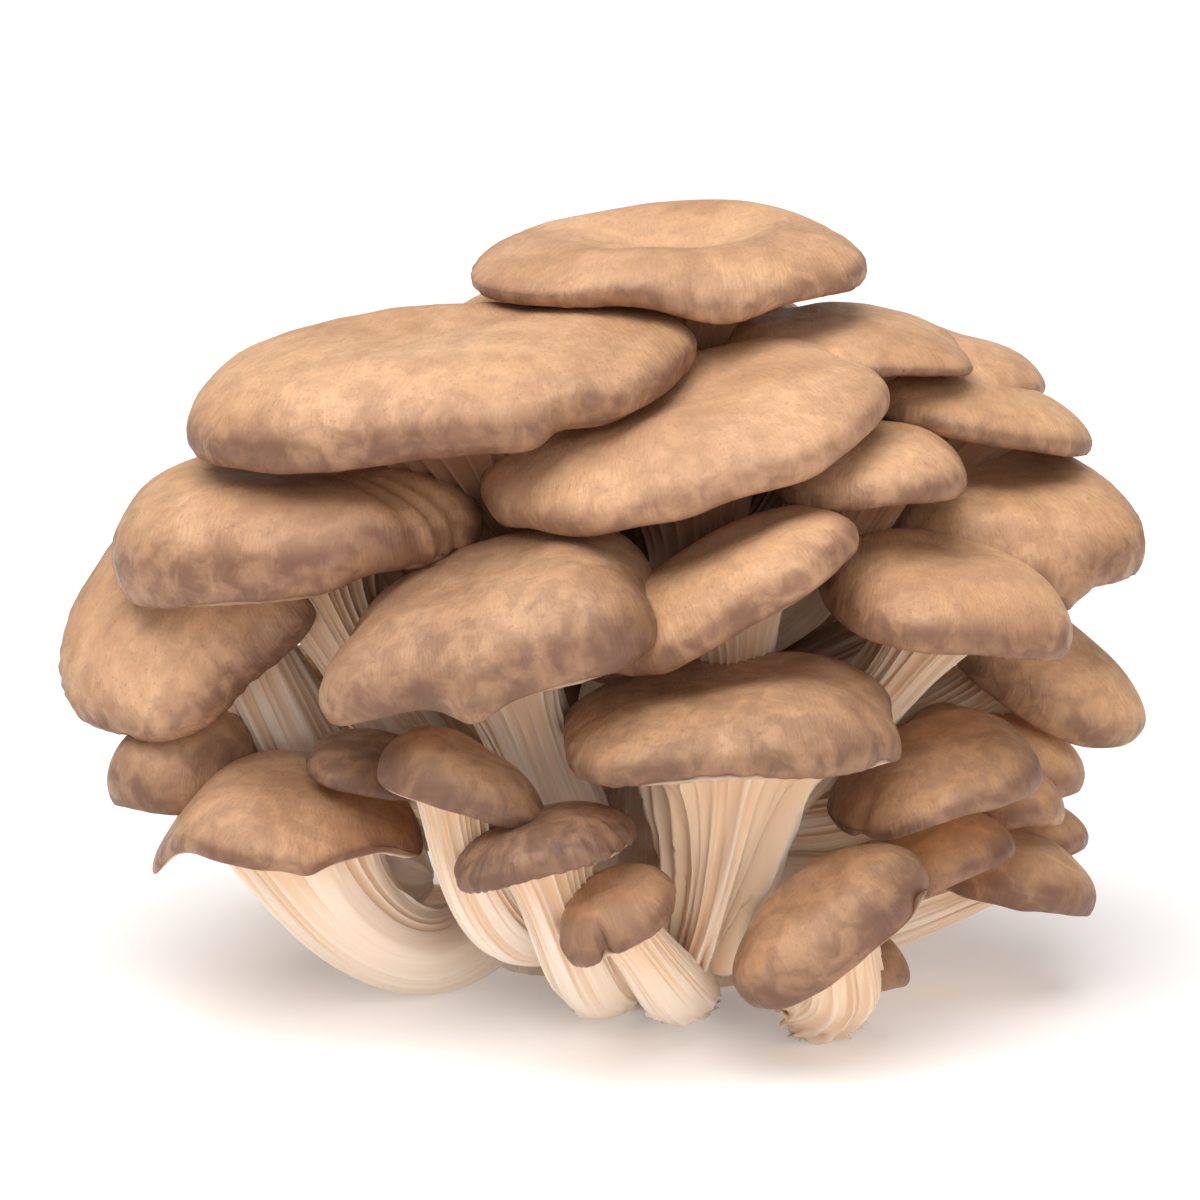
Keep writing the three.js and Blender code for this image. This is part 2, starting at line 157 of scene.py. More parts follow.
LOW_TIER = (
    row("low_right_upper", lip=(62, -60, 42), face=12, tilt=3, roll=-16, reach=22, back=14, width=38,
        dome=7, lean=0.3, blank="fine", creases=((-55, 6, 1.0, 0.5),), tone=0.45),
    row("low_right_outer", lip=(83, -22, 36), face=50, tilt=8, reach=20, back=14, width=30, dome=9,
        stem=(6.5, 6)),
    row("low_right_bud", lip=(76, -35, 34), face=25, tilt=4, reach=16, back=10, width=22, dome=7,
        stem=(6, 5.5)),
    row("low_right_slanting", lip=(63, -52, 29), face=15, tilt=2, roll=-20, reach=14, back=6, width=26,
        dome=5.5, stem=(6, 6), tone=0.3),
    row("low_right_front", lip=(81, -38, 19.5), face=35, tilt=6, roll=15, reach=22, back=14, width=34,
        dome=9, foot=(36, -12, 8), blank="fine", frayed=2.5, flare=0.75, stem=(13, 8), tone=0.3),
    row("low_right_behind", lip=(86, -15, 24), face=60, tilt=4, reach=20, back=12, width=28, dome=7,
        stem=(6, 6)),
    row("bottom_right", lip=(43.5, -80, 22.5), face=20, tilt=8, roll=-33, reach=13, back=9, width=39,
        dome=9, bow=3, stem=(10, 9), foot=(35, -45, 5), via=(40, -56, 9), blank="fine", tone=0.55, ragged=0.4,
        frayed=2.5, creases=((60, 8, 1.2, 0.5),)),
    row("bottom_right_bud", lip=(51, -60, 12), face=40, tilt=20, reach=9, back=5, width=12, dome=4,
        stem=(4, 4), foot=(38, -16, 6), via=(44, -40, 6), tone=0.6),
    row("bottom_centre_bud", lip=(3, -86, 25), tilt=16, roll=-30, reach=13, back=8, width=22,
        dome=5, bow=3, stem=(5, 7), foot=(15, -31, 5), via=(14, -58, 8), blank="fine", tone=0.5, frayed=2.5,
        flare=0.7, creases=((-8, 5, 1.6, 0.6),), wrinkled=0.05),
    row("bottom_centre_dark", lip=(-9, -83, 37.5), tilt=0, roll=-15, reach=16, back=10, width=32,
        dome=6, bow=3, stem=(11, 7.5), foot=(3, -25, 6), via=(0, -54, 8), blank="fine", tone=1, frayed=2.5,
        flare=0.75, wrinkled=0.12, creases=((48, 4, 0.7, 0.6), (62, 4, 0.9, 0.6))),
    row("low_left_slanting", lip=(-25, -75, 47), face=-5, tilt=0, roll=14, reach=14, back=8, width=30,
        dome=7, lean=-0.4, bow=3, stem=(11, 7), foot=(-4, -20, 14), via=(-14, -48, 14), blank="fine",
        tone=0.62, flare=0.75, frayed=2),
    row("low_left_dark", lip=(-41, -52, 43.5), face=-5, tilt=2, roll=10, reach=16, back=8, width=24,
        dome=4.5, bow=2, stem=(5, 5), tone=0.8),
    row("low_left_outer", lip=(-83, -30, 36), face=-45, tilt=16, reach=14, back=13, width=24, dome=10,
        stem=(6, 6), tone=0.4),
    row("low_left_front", lip=(-60, -62, 33.5), face=-15, tilt=5, roll=3, reach=26, width=42, dome=7,
        lean=-0.2, bow=2, stem=(18, 7.5), foot=(-14, -10, 14), via=(-38, -31, -5),
        lobes=((-72, 26, 3, 10), (25, 8, 1, 1), (84, 16, 4, 3)), blank="fine",
        flare=0.85, tone=0.36, full=2.1, narrowing=0.35),
    row("low_left_tiny", lip=(-54, -10, 7), face=-40, reach=10, back=6, width=14, dome=4, stem=(4, 4),
        foot=(-22, 6, 8)),
)

BACK_TIERS = (
    row("back_crown", lip=(8, 50, 108), face=175, tilt=6, reach=32, width=72, dome=11, stem=(10, 9)),
    row("back_left_high", lip=(-48, 42, 97), face=-140, tilt=6, reach=34, back=22, width=64, dome=11),
    row("back_right_high", lip=(56, 42, 96), face=135, tilt=7, reach=30, width=58, dome=11),
    row("rear_left_shelf", lip=(-26, 70, 76), face=-162, tilt=8, roll=6, reach=32, width=62, dome=13,
        stem=(14, 10)),
    row("rear_right_shelf", lip=(36, 68, 70), face=152, tilt=9, roll=-5, reach=30, width=58, dome=12),
    row("left_rear_shelf", lip=(-82, 24, 72), face=-105, tilt=9, roll=4, reach=32, width=58, dome=13,
        stem=(15, 10)),
    row("right_rear_shelf", lip=(76, 34, 66), face=110, tilt=10, roll=4, reach=28, width=50, dome=11),
    row("rear_low_left", lip=(-46, 60, 42), face=-145, tilt=10, reach=26, width=46, dome=10),
    row("rear_low_middle", lip=(-2, 76, 46), face=180, tilt=12, reach=28, width=48, dome=10),
    row("rear_low_right", lip=(46, 62, 40), face=145, tilt=9, roll=6, reach=26, width=44, dome=9),
    row("left_rear_low", lip=(-76, 30, 38), face=-110, tilt=12, reach=24, width=40, dome=9),
    row("right_rear_low", lip=(72, 36, 32), face=115, tilt=10, reach=22, width=38, dome=9),
)

# Blanks: primary gills round, rings over the cap's top, rings from the lip down to the foot, and one gill's
# columns: place across the gill, and the heights there of the primary blade and of the forked one beside it.
FINE_GILL = ((0, 1, 0), (0.04, 0.8, 0), (0.1, 0.42, 0), (0.2, 0.16, 0), (0.33, 0.04, 0.1), (0.45, 0, 0.6),
             (0.5, 0, 1), (0.55, 0, 0.6), (0.67, 0.04, 0.1), (0.8, 0.16, 0), (0.9, 0.42, 0), (0.96, 0.8, 0))
PLAIN_GILL = ((0, 1, 0), (0.1, 0.5, 0), (0.3, 0.1, 0.2), (0.5, 0, 1), (0.7, 0.1, 0.2), (0.9, 0.5, 0))
BLANKS = {"plain": (26, 12, 24, PLAIN_GILL), "fine": (26, 16, 50, FINE_GILL)}
RING_STEP = 1.0  # height of one ring of a blank
RING_SPREAD = 1.15  # how much closer the rings lie near the lip than near the foot
EVENING = 3  # how many times the normals are evened out

# Gills, as shares of the way from the lip to the foot. Each gill draws its own value from a range.
BLADE_DEPTH = (0.6, 1)  # how deep a primary blade is
FORK_DEPTH = (0.5, 1)  # how deep a forked blade is where it starts
FORK_END = (0.24, 0.5)  # where it has ended
FORK_FADE = 0.15  # the length over which it ends
BLADE_END = (0.55, 0.9)  # where a primary blade has sunk into the stem
BLADE_FADE = 0.3  # the length over which it sinks
RAGGED_FADE = 0.15  # how much sooner it does on a ragged stem
CLOSED_GILL = 0.75  # where the smooth stem lies between the gills' roots and edges
GILL_SHARE = 0.5  # a gill's depth as a share of its pitch
GILL_DEPTH = (0.3, 1.9)  # the least and most depth, in millimetres
GILL_SWAY = 0.4  # how far neighbouring gills wander together, as a share of their pitch
GILL_LEAN = 0.1  # and each alone
LEAN_STEP = (3.7, 3.0)  # how fast its lean changes from gill to gill and down the way
LEAN_WAVES = (1.3, 3)  # the pitch of the leaning, and its own seed
WANDERING = 0.3  # where the gills wander freely

# The skin's relief, in millimetres.
SMALL = 55  # the width below which the relief shrinks with the mushroom
RELIEF = 0.8  # how strong the lumps and folds are
LUMPS = ((26, 0.7, 0), (11, 0.14, 5))  # the lumps' size and height, and their own seed
LUMPS_SUNK = 0.9  # how far their middle level lies below the plain shape
FOLD_HEIGHT = 0.18
RIPPLES = 13  # ripples from the hub to the margin
RIPPLE_SWAY = (30, 1.5, 16)  # the size of the ripples' bends and how far they bend, and their own seed

# Torn flesh, in millimetres.
SHEET_DEPTH = (0.6, 0.6)  # depth of the soft sheets on any stem, and what a ragged one adds
FLAP_DEPTH = 2.2  # depth of the loose flaps of a ragged stem
TORN_SHEETS = 7  # overlapping torn sheets round a ragged stem
TORN_DEPTH = 2.0  # how far one stands over the next
TORN_TWIST = 2.2  # how far they wind round the stem
TORN_SWAY = 0.5  # and wander
TORN_EDGE = 0.18  # how much of a sheet's width is its torn edge
TORN_OFF = 0.4  # how much of the gills' depth is gone on a ragged stem
SHEET_HEIGHT = 1.3  # how high the sheets of a large mushroom stand
SHEET_SHADE = 0.35  # how much painted shade they add to what lies between them
FRINGE = (1, 7)  # a frayed end's teeth fade out between these heights above the floor
FRINGE_TEETH = ((4, 1, 17), (1.7, 0.6, 18))  # the teeth's size and weight, and their own seed
FINE_TEETH = 0.35  # weight of the fine teeth at a frayed end
SETTLED = 0.5  # how softly flesh flattens on the floor
LEVEL = np.array((1, 1, 0))  # spreads the fringe level with the floor

# Wandering values wrapped round a mushroom: their tube's radius, how long they are drawn, their pitch and
# their own seed.
WRAPS = {
    "sway": (1.0, 1.2, 1.2, 1),
    "teeth": (2.2, 9, 1.3, 13),
    "fine_teeth": (2.2, 9, 0.45, 14),
    "folds": (4, 1.6, 1.4, 7),
    "wrinkles": (9, 1, 0.9, 15),
    "sheets": (2.2, 1.4, 1.7, 9),
    "flaps": (2.6, 0.5, 1.5, 11),
    "seams": (1.5, 0.8, 1.5, 19),
    "patches": (2, 0.5, 1.6, 20),
}

# Where each thing starts and is full. On top of the cap, as shares of the radius.
FADES = {
    "lumps": (0, 0.5),
    "folds": (0.6, 0.95),
    "wrinkles": (0.7, 0.95),
    "ripples": (0.4, 0.8),
    # As shares of the way from the lip to the foot.
    # Painted shade under the rolled margin.
    "rim": (0.03, 0.1),
    "flesh": (0.115, 0.14),
    "gills": (0.13, 0.22),
    "torn": (0.25, 0.5),
    # As a share of the stem, down to its end.
    "teeth": (0.7, 0.97),
    # As values of the wandering patches.
    "patches": (-0.4, 0.7),
}
CREASE_FULL = 0.97  # where a crease is deepest, as a share of the radius

# Painted shade on the flesh among the stems, in millimetres: it fades away from the trunk's axis and towards
# the floor, and darkens up under the tiers.
GAP_SHADE_RADII = (18, 51)
GAP_SHADE_HEIGHTS = (14, 34)
HIGH_SHADE_HEIGHTS = (60, 90)
TIER_SHADE = 0.95

# The flows that fibres follow, in millimetres: fanning over the skin from behind the hub, and down the flesh.
FAN_BACK = 45  # how far behind the hub the skin's fibres would meet
FAN_WIDTH = 70  # length of a radian of the fan
GRAIN_RADIUS = 9
GRAIN_LENGTH = 60  # from the lip to the foot


# ---- Shape ----------------------------------------------------------------------------------------------
def smooth(x, low, high):
    t = np.clip((x - low) / (high - low), 0, 1)
    return t * t * (3 - 2 * t)


def faded(kind, x):
    """How much of one kind there is, 0 to 1."""
    return smooth(x, *FADES[kind])


def unit(v):
    return v / np.linalg.norm(v, axis=-1, keepdims=True)


def turned(v, axis, angle):
    """v turned about a unit axis."""
    c, s = math.cos(angle), math.sin(angle)
    return v * c + np.cross(axis, v) * s + axis * np.dot(axis, v) * (1 - c)


def waves(points, size, seed, count=6):
    """A smooth wandering value, about -1 to 1, at each point: sines of about one size, ways seeded."""
    rng = np.random.default_rng(seed)
    total = np.zeros(points.shape[:-1])
    for direction in unit(rng.normal(size=(count, points.shape[-1]))):
        pitch = TURN / (size * rng.uniform(0.7, 1.5))
        total += np.sin(points @ direction * pitch + rng.uniform(0, TURN))
    return total / math.sqrt(count)


def directions(m):
    """The cap's own side (right), lip (outward) and up."""
    face, tilt, roll = (math.radians(m[key]) for key in ("face", "tilt", "roll"))
    level = np.array((math.sin(face), -math.cos(face), 0))
    lip = level * math.cos(tilt) - np.array((0, 0, math.sin(tilt)))
    up = level * math.sin(tilt) + np.array((0, 0, math.cos(tilt)))
    side = np.array((math.cos(face), math.sin(face), 0))
    return turned(side, lip, -roll), lip, turned(up, lip, -roll)


def cap_point(m, share, angle, height):
    """Points of the cap in its own frame, at a share of the outline's radius and a height above the lip."""
    out, down = 0, 0
    for at, spread, o, d in m["lobes"]:
        off = (np.degrees(angle) - at + 540) % 360 - 180
        felt = np.exp(-((off / spread) ** 2))
        out, down = out + o * felt, down + d * felt
    length = np.where(np.cos(angle) > 0, m["reach"], m["back"])
    squareness = (np.abs(np.sin(angle) / (m["width"] / 2)) ** m["full"]
                  + np.abs(np.cos(angle) / length) ** m["full"])
    radius = squareness ** (-1 / m["full"]) + out
    across = share * radius * np.sin(angle)
    along = share * radius * np.cos(angle)
    hang = m["bow"] * (across / (m["width"] / 2)) ** 2 + m["curve"] * np.maximum(0, along / m["reach"]) ** 2
    return np.stack((across, along, height - hang - down * share**3), -1)


def dome_rise(m, share, angle):
    arch = EDGE + (1 - EDGE) * np.sqrt(np.clip(1 - share**EDGE_POWER, 0, 1))
    dished = m["dish"] + (1 - m["dish"]) * smooth(share, 0, CREST)
    return m["dome"] * arch * dished * (1 + m["lean"] * share * np.sin(angle))


def hub_of(m, lip, up):
    edge = cap_point({**m, "lobes": ()}, np.array(1.0), np.array(0.0), 0)
    return np.array(m["lip"]) - lip * edge[1] - up * edge[2]


def stem_axis(m, hub, up):
    """The four controls of the stem's curve, from the hub down to the foot."""
    centre = np.array((*FOOT_CENTRE, 0))
    lip = np.array(m["lip"])
    joining = centre + GATHER * (lip - centre)
    joining[2] = ROOTING * lip[2]
    foot = np.array(m["foot"]) if m["foot"] else joining
    fall = hub[2] - foot[2]
    bend = np.array(m["via"]) if m["via"] else foot + np.array((0, 0, BEND * fall))
    return [hub, hub - up * NECK * fall, bend, foot]


def on_curve(p, t):
    """Points and unit tangents of a cubic curve."""
    t = t[..., None]
    s = 1 - t
    point = s**3 * p[0] + 3 * s * s * t * p[1] + 3 * s * t * t * p[2] + t**3 * p[3]
    slope = s * s * (p[1] - p[0]) + 2 * s * t * (p[2] - p[1]) + t * t * (p[3] - p[2])
    return point, unit(slope)


def gill_columns(blank):
    """The angle of each column of a blank, the numbers of the primary and the forked blade nearest to it, and
    their heights there."""
    gills, _, _, profile = BLANKS[blank]
    fork = np.repeat(np.arange(gills), len(profile))
    place, primary, forked = (np.tile([column[i] for column in profile], gills) for i in range(3))
    blade = (fork + np.rint(place).astype(int)) % gills
    return (fork + place) / gills * TURN, blade, fork, primary, forked


def round_about(angle, way, size=1.0, drawn=1.0):
    """Points on a tube, for wandering values that close round the stem. drawn is how long they are in it."""
    return np.stack((np.cos(angle) * size, way / drawn, np.sin(angle) * size), -1)


def wrapped(kind, angle, way, seed):
    """A wandering value of one kind, wrapped round a mushroom."""
    size, drawn, pitch, own_seed = WRAPS[kind]
    return waves(round_about(angle, way, size, drawn), pitch, seed + own_seed)


def gill_heights(m, way, seed):
    """How high the gills stand, 0 to 1: primary blades run down the stem, forked ones end part way."""
    gills = BLANKS[m["blank"]][0]
    _, blade, fork, primary, forked = gill_columns(m["blank"])
    rng = np.random.default_rng(seed)
    depth = rng.uniform(*BLADE_DEPTH, gills)[blade]
    ending = rng.uniform(*FORK_END, gills)[fork]
    start = rng.uniform(*FORK_DEPTH, gills)[fork]
    fading = rng.uniform(*BLADE_END, gills)[blade] - RAGGED_FADE * m["ragged"]
    blades = primary * depth
    forks = forked * start * (1 - smooth(way, ending - FORK_FADE, ending))
    closed = smooth(way, fading - BLADE_FADE, fading)
    return np.maximum(blades, forks) * (1 - closed) + CLOSED_GILL * closed


def mushroom_grid(m, seed):
    """Every point of a mushroom, in rings from the foot's end to the hub, with what its material reads."""
    gills, top, under, _ = BLANKS[m["blank"]]
    side, lip, up = directions(m)
    hub = hub_of(m, lip, up)
    curve = stem_axis(m, hub, up)
    angle, blade, _, primary, _ = gill_columns(m["blank"])

    # Stations: down the underside evenly by way, over the top evenly round its arch.
    ways = np.linspace(0, 1, under) ** RING_SPREAD
    arch = np.linspace(0, math.pi / 2, top + 1)[1:-1]
    shares = np.sin(arch) ** (2 / EDGE_POWER)

    way, a = np.meshgrid(ways, angle, indexing="ij")
    pitch = TURN / gills
    sway = wrapped("sway", a, way, seed)
    steps = np.stack((blade * LEAN_STEP[0] + 0 * way, way * LEAN_STEP[1]), -1)
    lean = waves(steps, LEAN_WAVES[0], seed + LEAN_WAVES[1]) * primary
    bare = a
    a = a + pitch * smooth(way, NOSE_END, WANDERING) * (GILL_SWAY * sway + GILL_LEAN * lean)

    nose = np.minimum(way / NOSE_END, 1) * math.pi / 2
    share = (1 - NOSE * (1 - np.cos(nose))) * (1 - m["narrowing"] * smooth(way, NOSE_END / 2, DRAWN_IN))
    rolled = EDGE - (EDGE + CURL) * np.sin(nose)
    lift = m["dome"] * (rolled + (HOLLOW + CURL) * smooth(way, NOSE_END, HOLLOW_END))
    stemmed = smooth(way, NOSE_END, m["flare"])[..., None]
    run = np.maximum(0, (way - STEM_START) / (1 - STEM_START)) ** STEM_PACE

    def on_cap(share, angle, height):
        p = cap_point(m, share, angle, height)
        return hub + p[..., :1] * side + p[..., 1:2] * lip + p[..., 2:] * up

    def fan(share, angle):
        p = cap_point(m, share, angle, 0)
        turned_to = np.arctan2(p[..., 0], p[..., 1] + FAN_BACK)
        return np.stack((turned_to * FAN_WIDTH, np.hypot(p[..., 0], p[..., 1] + FAN_BACK), 0 * share), -1)

    point, down = on_curve(curve, run)
    out = unit(lip - down * (down @ lip)[..., None])
    right = np.cross(out, down)
    ended = np.maximum(0, run - ROUND_FROM) / (1 - ROUND_FROM)
    rounding = np.sqrt(np.clip(1 - ended**2, END_RADIUS**2, 1))
    radius = m["stem"][1] + (m["stem"][0] - m["stem"][1]) * (1 - run) ** TAPER
    radius = (radius * rounding)[..., None]
    stem = point + right * radius * np.sin(a)[..., None] + out * radius * np.cos(a)[..., None]
    teeth = wrapped("teeth", bare, run, seed) + FINE_TEETH * wrapped("fine_teeth", bare, run, seed)
    stem = stem + down * (m["frayed"] * teeth * faded("teeth", run))[..., None]
    below = on_cap(share, a, lift) * (1 - stemmed) + stem * stemmed

    s, b = np.meshgrid(shares, angle, indexing="ij")
    above = on_cap(s, b, dome_rise(m, s, b))

    grid = np.concatenate((below[::-1], above[::-1]))
    info = {
        "way": np.concatenate((way[::-1], np.zeros_like(s))),
        "share": np.concatenate((share[::-1], s[::-1])),
        "run": np.concatenate((run[::-1], np.zeros_like(s))),
        "top": np.concatenate((np.zeros_like(way), np.ones_like(s))),
        "angle": np.concatenate((bare[::-1], b)),
        "silk": np.concatenate((fan(share, bare)[::-1], fan(s, b)[::-1])),
    }
    tip = curve[3]
    crown = on_cap(np.array(0.0), np.array(0.0), dome_rise(m, np.array(0.0), 0.0))
    return grid, tip, crown, info


def grid_normals(grid):
    """Outward unit normals of a grid that closes round its second axis, evened out with their neighbours'."""
    around = np.roll(grid, -1, 1) - np.roll(grid, 1, 1)
    along = np.gradient(grid, axis=0)
    normal = unit(np.cross(around, along) + 1e-12)
    middle = grid.mean(axis=1, keepdims=True)
    outward = np.sign(np.sum(normal * (grid - middle)))
    for _ in range(EVENING):
        normal = normal + np.roll(normal, 1, 1) + np.roll(normal, -1, 1)
        normal[1:-1] += normal[:-2] + normal[2:]
        normal = unit(normal + 1e-12)
    return normal * outward


def skin_relief(m, grid, info, seed):
    """Height of the skin's lumps, folds, creases, wrinkles and ripples over the plain shape."""
    share, angle = info["share"], info["angle"]
    lumps = sum(waves(grid, size, seed + own_seed) * height for size, height, own_seed in LUMPS)
    folds = wrapped("folds", angle, share, seed)
    soft = (lumps - LUMPS_SUNK) * faded("lumps", share) + FOLD_HEIGHT * folds * faded("folds", share)
    relief = soft * RELIEF * min(1.0, m["width"] / SMALL)
    for at, spread, deep, start in m["creases"]:
        off = (np.degrees(angle) - at + 540) % 360 - 180
        relief = relief - deep * np.exp(-((off / spread) ** 2)) * smooth(share, start, CREASE_FULL)
    wrinkles = wrapped("wrinkles", angle, share, seed) - 1
    relief = relief + m["wrinkled"] * wrinkles * faded("wrinkles", share)
    size, bend, own_seed = RIPPLE_SWAY
    ripples = np.sin(share * RIPPLES * TURN + bend * waves(grid, size, seed + own_seed))
    return relief + m["rippled"] * ripples * faded("ripples", share)


def torn_sheets(m, angle, way, seed):
    """How far the flesh lies below its sheets: soft on any stem, with flaps and overlaps on a ragged one."""
    sheets = (1 - np.abs(wrapped("sheets", angle, way, seed))) ** 2
    flaps = (1 - np.abs(wrapped("flaps", angle, way, seed))) ** 3
    depth = (np.minimum(sheets, 1) - 1) * (SHEET_DEPTH[0] + SHEET_DEPTH[1] * m["ragged"])
    depth = depth + (np.minimum(flaps, 1) - 1) * FLAP_DEPTH * m["ragged"]
    turn = angle / TURN * TORN_SHEETS + way * TORN_TWIST + TORN_SWAY * wrapped("seams", angle, way, seed)
    turn = turn - np.floor(turn)
    step = np.minimum(turn / (1 - TORN_EDGE), (1 - turn) / TORN_EDGE) - 1
    patch = faded("patches", wrapped("patches", angle, way, seed))
    return depth + step * patch * TORN_DEPTH * m["ragged"]


def dress(m, grid, info, seed):
    """The fine shape: the skin's relief, the gills and the torn sheets, laid on the plain one inwards, so
    that it keeps its size, and a fringe where a frayed end meets the floor."""
    way, angle = info["way"], info["angle"]
    normal = grid_normals(grid)
    skin = np.maximum(info["top"], 1 - faded("flesh", way))
    flesh = 1 - skin
    fine = skin_relief(m, grid, info, seed) * skin

    ridge = gill_heights(m, way, seed)
    around = np.linalg.norm(np.roll(grid, -1, 1) - grid, axis=2).sum(axis=1, keepdims=True)
    depth = np.clip(GILL_SHARE * around / BLANKS[m["blank"]][0], *GILL_DEPTH) * faded("gills", way)
    torn = faded("torn", way)
    fine = fine - flesh * (1 - ridge) * depth * (1 - TORN_OFF * m["ragged"] * torn)
    sheets = torn_sheets(m, angle, way, seed)
    fine = fine + flesh * SHEET_HEIGHT * min(1.0, m["width"] / SMALL) * sheets * torn

    shaped = grid + normal * fine[..., None]
    low = flesh * (1 - smooth(shaped[..., 2], *FRINGE))
    teeth = sum(waves(shaped, size, seed + own_seed) * weight for size, weight, own_seed in FRINGE_TEETH)
    shaped = shaped + normal * LEVEL * (m["frayed"] * low * np.maximum(0, teeth))[..., None]
    shaped[..., 2] = (shaped[..., 2] + np.hypot(shaped[..., 2], SETTLED)) / 2
    # The gills' heights, for the painted shade between them, sunk further between the torn sheets.
    info["ridge"] = np.where(skin > 0.5, 1, ridge * (1 + SHEET_SHADE * sheets * torn))
    # Painted shade under the rolled margin, on the skin only.
    info["rim"] = faded("rim", way) * skin
    info["skin"] = skin
    # How far the skin turns from the cap's up; the material paints it browner there, partly its own colour
    # and partly painted shade.
    info["slope"] = 1 - grid_normals(shaped) @ directions(m)[2]
    return shaped


# ---- Mesh making ----------------------------------------------------------------------------------------
def deselect():
    if bpy.context.object and bpy.context.object.mode != "OBJECT":
        bpy.ops.object.mode_set(mode="OBJECT")
    bpy.ops.object.select_all(action="DESELECT")


def turned_blank(name, sides, rings):
    """A plain closed bar with one loop of edges for each station, from z = 0 up, a step apart."""
    deselect()
    bpy.ops.mesh.primitive_circle_add(vertices=sides, radius=1, fill_type="TRIFAN", location=(0, 0, 0))
    bar = bpy.context.object
    bar.name = name
    bpy.ops.object.mode_set(mode="EDIT")
    bpy.ops.mesh.select_all(action="SELECT")
    for _ in range(rings - 1):
        bpy.ops.mesh.extrude_region_move(TRANSFORM_OT_translate={"value": (0, 0, RING_STEP)})
    bpy.ops.object.mode_set(mode="OBJECT")
    outward_faces()
    return bar


def coordinates(mesh):
    flat = np.empty(len(mesh.vertices) * 3)
    mesh.vertices.foreach_get("co", flat)
    return flat.reshape(-1, 3)


def bar_order(mesh, sides, rings):
    """The vertex numbers of a bar as a grid of rings by sides, and those of its two end middles."""
    co = coordinates(mesh)
    ring = np.rint(co[:, 2] / RING_STEP).astype(int)
    centre = np.hypot(co[:, 0], co[:, 1]) < 0.5
    turn = np.rint((np.arctan2(co[:, 0], -co[:, 1]) % TURN) / TURN * sides).astype(int) % sides
    order = np.empty((rings, sides), int)
    rim = np.flatnonzero(~centre)
    order[ring[rim], turn[rim]] = rim
    ends = np.flatnonzero(centre)
    first = ends[np.argmin(co[ends, 2])]
    last = ends[np.argmax(co[ends, 2])]
    return order, first, last


def put_attribute(mesh, name, values):
    """A value or a vector at each vertex."""
    kind, key = ("FLOAT", "value") if values.ndim == 1 else ("FLOAT_VECTOR", "vector")
    layer = mesh.attributes.new(name, kind, "POINT")
    layer.data.foreach_set(key, values.astype(np.float32).ravel())


def outward_faces():
    """The active object's faces turned outward."""
    bpy.ops.object.mode_set(mode="EDIT")
    bpy.ops.mesh.select_all(action="SELECT")
    bpy.ops.mesh.normals_make_consistent(inside=False)
    bpy.ops.object.mode_set(mode="OBJECT")


def carry(blank, name, order, first, last, grid, tip, crown, layers):
    """A copy of a blank with its own mesh, its rings carried onto a shape, with the masks and flows that its
    material reads."""
    deselect()
    piece = blank.copy()
    piece.data = blank.data.copy()
    piece.name = name
    piece.data.name = name
    bpy.context.scene.collection.objects.link(piece)
    mesh = piece.data
    co = np.empty((len(mesh.vertices), 3))
    co[order] = grid
    co[first] = tip
    co[last] = crown
    mesh.vertices.foreach_set("co", (co * MM).ravel())
    for key, values in layers.items():
        spread = np.empty((len(mesh.vertices), *values.shape[2:]))
        spread[order] = values
        spread[first] = values[0].mean(axis=0)
        spread[last] = values[-1].mean(axis=0)
        put_attribute(mesh, key, spread)
    mesh.update()
    bpy.context.view_layer.objects.active = piece
    piece.select_set(True)
    outward_faces()
    bpy.ops.object.shade_smooth()
    return piece


_blanks = {}


def blank_for(grain):
    if grain not in _blanks:
        gills, top, under, profile = BLANKS[grain]
        sides = gills * len(profile)
        rings = top - 1 + under
        bar = turned_blank("blank_" + grain, sides, rings)
        _blanks[grain] = (bar, *bar_order(bar.data, sides, rings))
    return _blanks[grain]


def painted_gap_shade(grid):
    """How much painted shade a point gets among the stems: near the trunk, or high under the tiers."""
    away = np.hypot(grid[..., 0] - FOOT_CENTRE[0], grid[..., 1] - FOOT_CENTRE[1])
    near = (1 - smooth(away, *GAP_SHADE_RADII)) * smooth(grid[..., 2], *GAP_SHADE_HEIGHTS)
    return np.maximum(near, TIER_SHADE * smooth(grid[..., 2], *HIGH_SHADE_HEIGHTS))


def make_mushroom(m, seed, material):
    blank, order, first, last = blank_for(m["blank"])
    grid, tip, crown, info = mushroom_grid(m, seed)
    grid = dress(m, grid, info, seed)
    layers = {key: info[key] for key in ("skin", "slope", "ridge", "run", "rim")}
    layers["tone"] = np.full_like(info["share"], m["tone"])
    # The painted shade among the stems, which the material reads as inner.
    layers["inner"] = painted_gap_shade(grid)
    layers["silk"] = info["silk"] + np.array((0, 0, seed))
    layers["grain"] = round_about(info["angle"], info["way"], GRAIN_RADIUS, 1 / GRAIN_LENGTH) + seed
    piece = carry(blank, "visual_" + m["name"], order, first, last, grid, tip, crown, layers)
    piece.data.materials.append(material)
    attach(piece, "root")
    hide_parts(m["name"])
    return piece


def clear_blanks():
    for bar, *_ in _blanks.values():
        bpy.data.objects.remove(bar)
    _blanks.clear()


# ---- Materials ------------------------------------------------------------------------------------------
NODES_ACROSS = 8  # the shader editor shows the nodes in rows of so many
NODE_STEP = (220, -280)

# How strongly each layer of the skin shows.
GILT = 0.35  # golden patches
VEIL = 0.26  # close mottling
SPECKLE = 0.28
NAP = 0.1  # silky fibres
DARKEST = 0.85  # the darkest caps' own brown
PALEST = 0.7  # the palest caps' own gold
RIM_SHADE_LINE = 0.55  # painted shade: a dark line under the rolled margin
BROWN_AND_SHADE_SLOPES = (0.02, 0.75)  # how steep the skin is where it starts and ends turning brown: partly its own colour, partly painted shade
CLOUDED = (0.5, 1.0)  # how much of that brown the clouds let through
DARK_CLOUDED = (0.7, 1.1)  # and of the dark caps' own brown

